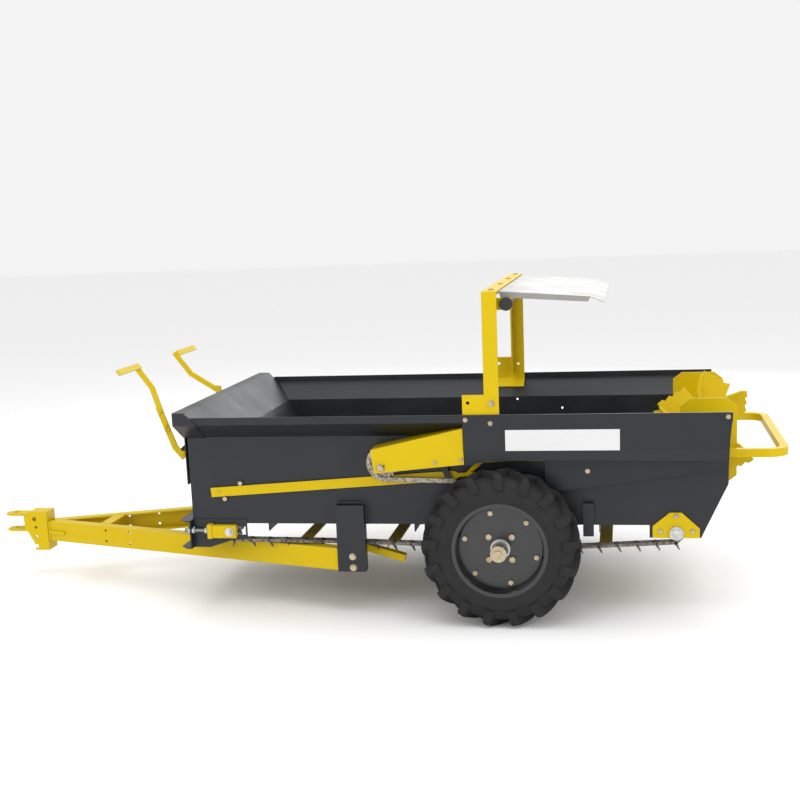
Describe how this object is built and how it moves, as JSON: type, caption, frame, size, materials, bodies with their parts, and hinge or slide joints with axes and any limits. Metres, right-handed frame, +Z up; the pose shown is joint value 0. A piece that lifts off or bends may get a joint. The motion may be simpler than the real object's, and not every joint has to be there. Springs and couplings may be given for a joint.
{
  "type": "manure spreader",
  "caption": "Compact two-wheeled ground-driven compost and manure spreader with drawbar, floor chain apron, rear paddle beater and tilting deflector sheet.",
  "frame": {"origin": "on the ground, midway between the hitch tip and the back of the tail bail, on the centre line", "axes": "+X from the hitch to the tail, +Y towards the side away from the beater chain, +Z up"},
  "size_m": [3.064, 1.28, 1.147],
  "materials": {
    "yellow_paint": "satin powder coat",
    "slate_paint": "satin powder coat",
    "zinc_steel": "zinc plated",
    "chain_steel": "oiled steel",
    "tyre_rubber": "matte",
    "rim_paint": "gloss black",
    "galvanised": "light grey coated sheet",
    "knob_plastic": "matte black",
    "label_white": "blank vinyl"
  },
  "bodies": {
    "chassis": {"side_wall_left": "slate_paint", "side_wall_right": "slate_paint", "front_panel": "slate_paint", "floor_plate": "slate_paint", "floor_crossbars": "slate_paint", "front_cross_channel": "slate_paint", "axle_beam": "slate_paint", "wall_stiffeners": "slate_paint", "drawbar_beam_left": "yellow_paint", "drawbar_beam_right": "yellow_paint", "drawbar_crossmember": "yellow_paint", "hitch_block": "yellow_paint", "hitch_clevis": "yellow_paint", "post_left": "slate_paint", "post_right": "slate_paint", "tension_bracket_left": "slate_paint", "tension_bracket_right": "slate_paint", "tension_slider_left": "yellow_paint", "tension_slider_right": "yellow_paint", "tension_rods": "zinc_steel", "rear_bearing_plates": "yellow_paint", "apron_chain_left": "chain_steel", "apron_chain_right": "chain_steel", "apron_slats": "yellow_paint", "drive_chain": "chain_steel", "chain_guides": "slate_paint", "beater_bearings": "slate_paint", "front_guard": "yellow_paint", "rear_guard": "slate_paint", "lower_guard": "slate_paint", "name_plate": "label_white", "lever_brackets": "slate_paint", "deflector_frame": "yellow_paint", "rear_bail": "yellow_paint", "frame_bolts": "zinc_steel"},
    "front_idler": {"front_idler_shaft": "zinc_steel"},
    "apron_drive": {"apron_drive_shaft": "zinc_steel"},
    "feed_arm": {"feed_ratchet_arm": "yellow_paint"},
    "stand_left": {"stand_leg_left": "yellow_paint"},
    "stand_right": {"stand_leg_right": "yellow_paint"},
    "wheel_left": {"tyre_left": "tyre_rubber", "rim_left": "rim_paint", "hub_left": "zinc_steel", "wheel_bolts_left": "zinc_steel", "hub_sprocket": "chain_steel"},
    "wheel_right": {"tyre_right": "tyre_rubber", "rim_right": "rim_paint", "hub_right": "zinc_steel", "wheel_bolts_right": "zinc_steel"},
    "idler": {"chain_idler": "chain_steel"},
    "beater": {"beater_shaft": "yellow_paint", "beater_paddles": "yellow_paint"},
    "lever_left": {"control_lever_left": "yellow_paint"},
    "lever_right": {"control_lever_right": "yellow_paint"},
    "bar_left": {"control_bar_left": "yellow_paint", "shift_link_left": "yellow_paint"},
    "bar_right": {"control_bar_right": "yellow_paint", "shift_link_right": "yellow_paint"},
    "deflector": {"deflector_plate": "galvanised", "deflector_knobs": "knob_plastic"}
  },
  "joints": [
    {"name": "wheel_left_spin", "type": "hinge", "parent": "chassis", "child": "wheel_left", "pos_m": [0.565, -0.541, 0.2725], "axis": [0, -1, 0], "continuous": true},
    {"name": "wheel_right_spin", "type": "hinge", "parent": "chassis", "child": "wheel_right", "pos_m": [0.565, 0.541, 0.2725], "axis": [0, -1, 0], "continuous": true},
    {"name": "idler_spin", "type": "hinge", "parent": "chassis", "child": "idler", "pos_m": [0.157, -0.457, 0.551], "axis": [0, -1, 0], "continuous": true},
    {"name": "beater_spin", "type": "hinge", "parent": "chassis", "child": "beater", "pos_m": [1.265, 0, 0.6], "axis": [0, -1, 0], "continuous": true},
    {"name": "apron_drive_spin", "type": "hinge", "parent": "chassis", "child": "apron_drive", "pos_m": [1.155, 0, 0.3], "axis": [0, -1, 0], "continuous": true},
    {"name": "front_idler_spin", "type": "hinge", "parent": "chassis", "child": "front_idler", "pos_m": [-0.426, 0, 0.3], "axis": [0, -1, 0], "continuous": true},
    {"name": "feed_arm_rock", "type": "hinge", "parent": "chassis", "child": "feed_arm", "pos_m": [1.155, 0.473, 0.3], "axis": [0, -1, 0], "range_deg": [-9, 9]},
    {"name": "stand_left_swing", "type": "hinge", "parent": "chassis", "child": "stand_left", "pos_m": [-0.007, -0.373, 0.24], "axis": [0, 1, 0], "range_deg": [0, 74]},
    {"name": "stand_right_swing", "type": "hinge", "parent": "chassis", "child": "stand_right", "pos_m": [-0.007, 0.373, 0.24], "axis": [0, 1, 0], "range_deg": [0, 74]},
    {"name": "lever_left_tilt", "type": "hinge", "parent": "chassis", "child": "lever_left", "pos_m": [-0.675, -0.204, 0.541], "axis": [0, -1, 0], "range_deg": [-24, 8]},
    {"name": "lever_right_tilt", "type": "hinge", "parent": "chassis", "child": "lever_right", "pos_m": [-0.675, 0.204, 0.541], "axis": [0, -1, 0], "range_deg": [-3, 20]},
    {"name": "bar_left_slide", "type": "slide", "parent": "chassis", "child": "bar_left", "axis": [0.9977, 0, 0.0684], "range_m": [-0.007, 0.0202]},
    {"name": "bar_right_slide", "type": "slide", "parent": "chassis", "child": "bar_right", "axis": [0.9977, 0, 0.0684], "range_m": [-0.007, 0.0202]},
    {"name": "deflector_tilt", "type": "hinge", "parent": "chassis", "child": "deflector", "pos_m": [0.599, 0, 1.097], "axis": [0, 1, 0], "range_deg": [0, 50]}
  ],
  "couplings": [
    {"joint": "idler_spin", "follows": "wheel_left_spin", "ratio": -2},
    {"joint": "beater_spin", "follows": "wheel_left_spin", "ratio": -2.9231},
    {"joint": "apron_drive_spin", "follows": "wheel_right_spin", "ratio": -0.04},
    {"joint": "front_idler_spin", "follows": "wheel_right_spin", "ratio": -0.04},
    {"joint": "bar_left_slide", "follows": "lever_left_tilt", "m_per_rad": -0.048},
    {"joint": "bar_right_slide", "follows": "lever_right_tilt", "m_per_rad": 0.048}
  ]
}
